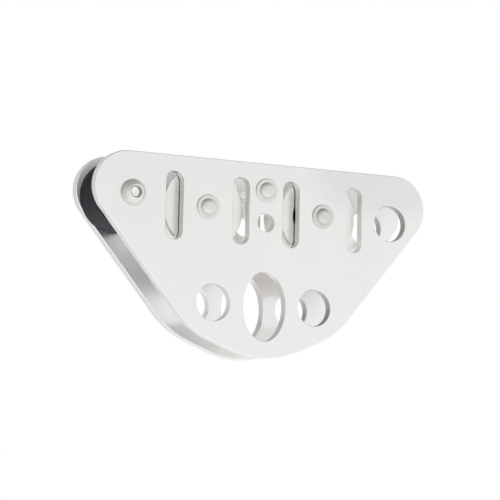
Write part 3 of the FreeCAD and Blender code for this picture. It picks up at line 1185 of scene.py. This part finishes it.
@dataclass(frozen=True)
class MirrorGlow:
    """How bright the surroundings look in the metal, by the direction that is looked up.

    To the level, each term adds its value times how far the direction points to the right, to
    the rear or up, or times two of these. The level and the terms weren't chosen by hand: a
    least-squares fit to the tones of the photo's metal gave them. The cap is given, and it keeps
    every face from clipping.
    """

    level: float = 0.724
    right: float = 0.166
    rear: float = -0.024
    up: float = -0.293
    right_right: float = 0.189
    rear_rear: float = 0.140
    right_rear: float = 0.093
    right_up: float = -0.143
    rear_up: float = 0.103
    cap: float = 0.96

    def build(self, nodes: NodeSet) -> Socket:
        """Work out the brightness.

        Args:
            nodes: The surroundings' nodes.

        Returns:
            The brightness in the direction that is looked up.
        """
        right, rear, up = nodes.parts(nodes.add("ShaderNodeTexCoord").outputs["Generated"])
        level: Feed = self.level
        for part, share in ((right, self.right), (rear, self.rear), (up, self.up)):
            term = nodes.sum(Operation.MULTIPLY, part, share)
            level = nodes.sum(Operation.ADD, term, level)
        for first, second, share in (
                (right, right, self.right_right), (rear, rear, self.rear_rear),
                (right, rear, self.right_rear), (right, up, self.right_up),
                (rear, up, self.rear_up)):
            both = nodes.sum(Operation.MULTIPLY, first, second)
            term = nodes.sum(Operation.MULTIPLY, both, share)
            level = nodes.sum(Operation.ADD, term, level)
        return nodes.sum(Operation.SMALLER, level, self.cap)


@dataclass
class Studio:
    """A pale floor well below the hanging trolley, white surroundings and soft lamps.

    Its lengths are in metres.
    """

    floor_z: float = -0.125
    floor_r: float = 6.0
    floor_points: int = 128
    floor_colour: Colour = (0.80, 0.80, 0.80)
    floor_roughness: float = 0.9
    floor_lift: Span = (0.21, 0.42)
    lift_span: Span = (0.25, 1.5)
    sky_level: float = 0.78
    mirrored: MirrorGlow = MirrorGlow()
    bounces: int = 12
    boxes: tuple[Softbox, ...] = (
        Softbox("key_softbox", (-1.3, -1.2, 1.5), 1.8, 14.0),
        Softbox("fill_softbox", (1.9, -0.9, 0.7), 1.6, 6.0),
    )

    def build_world(self) -> None:
        """Set the surroundings: white to the camera, a soft gradient in mirrors, even light."""
        world = bpy.data.worlds.new("studio")
        bpy.context.scene.world = world
        world.use_nodes = True
        nodes = NodeSet(world.node_tree)
        in_mirrors = nodes.ray("Glossy", "Transmission")
        level = nodes.mix(in_mirrors, self.sky_level, self.mirrored.build(nodes))
        level = nodes.mix(nodes.ray("Camera"), level, 1.0)
        back = nodes.add("ShaderNodeBackground")
        nodes.feed(back.inputs["Color"], WHITE)
        nodes.feed(back.inputs["Strength"], level)
        output = nodes.add("ShaderNodeOutputWorld")
        nodes.feed(output.inputs["Surface"], back.outputs[0])

    def build_floor(self) -> None:
        """Lay a round pale floor that keeps the trolley's shadow and turns white further out.

        The metal doesn't see it: in mirrors the surroundings go on below the horizon.
        """
        bpy.ops.mesh.primitive_circle_add(
            vertices=self.floor_points, radius=self.floor_r, fill_type="NGON",
            location=(0.0, 0.0, self.floor_z))
        floor = bpy.context.object
        floor.name = "studio_floor"
        floor.visible_glossy = False
        shader = Shader("pale_floor")
        away = shader.add("ShaderNodeVectorMath", operation="LENGTH")
        shader.feed(away.inputs[0], shader.place())
        lift = shader.ramp(away.outputs["Value"], self.lift_span, self.floor_lift)
        seen = shader.ray("Camera", "Transmission")
        shader.set(
            Base_Color=self.floor_colour, Roughness=self.floor_roughness,
            Specular_IOR_Level=0.0, Emission_Color=WHITE,
            Emission_Strength=shader.sum(Operation.MULTIPLY, lift, seen))
        floor.data.materials.append(shader.material)

    def build(self) -> None:
        """Build the floor, the surroundings and the lamps."""
        self.build_floor()
        self.build_world()
        for box in self.boxes:
            box.build()
        bpy.context.scene.view_settings.view_transform = "Standard"
        bpy.context.scene.cycles.glossy_bounces = self.bounces


@dataclass
class PhotoCamera:
    """The camera at the photograph's viewing angle: a little to the left and from below."""

    aim_mm: tuple[float, float, float] = (-0.57, 0.91, 4.55)
    distance_mm: float = 766.5
    heading_deg: float = 26.759
    rise_deg: float = 6.056
    roll_deg: float = 1.272
    lens_mm: float = 134.86
    sensor_mm: float = 36.0
    clip_start_m: float = 0.01

    def build(self) -> None:
        """Set up the camera and make it the scene's own."""
        heading = math.radians(self.heading_deg)
        rise = math.radians(self.rise_deg)
        roll = math.radians(self.roll_deg)
        forward = Vector((
            math.sin(heading) * math.cos(rise), math.cos(heading) * math.cos(rise),
            math.sin(rise)))
        level = Vector((math.cos(heading), -math.sin(heading), 0.0))
        upright = level.cross(forward)
        right = level * math.cos(roll) + upright * math.sin(roll)
        up = upright * math.cos(roll) - level * math.sin(roll)
        turn = Matrix((right, up, -forward)).transposed().to_4x4()
        data = bpy.data.cameras.new("photo_camera")
        data.lens = self.lens_mm
        data.sensor_width = self.sensor_mm
        data.clip_start = self.clip_start_m
        camera = bpy.data.objects.new("photo_camera", data)
        bpy.context.scene.collection.objects.link(camera)
        place = (Vector(self.aim_mm) - forward * self.distance_mm) * MM
        camera.matrix_world = Matrix.Translation(place) @ turn
        bpy.context.scene.camera = camera


def main() -> None:
    """Dress every piece of the trolley, then set up the studio and the camera."""
    logging.basicConfig(level=logging.INFO, format="%(name)s: %(message)s")
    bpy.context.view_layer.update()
    SidePlates().dress()
    for station, shade in AXLE_SHADES.items():
        WheelStation(station, shade).dress()
    BumperStation(ButtonBolt()).dress()
    Studio().build()
    PhotoCamera().build()


if __name__ == "__main__":
    main()
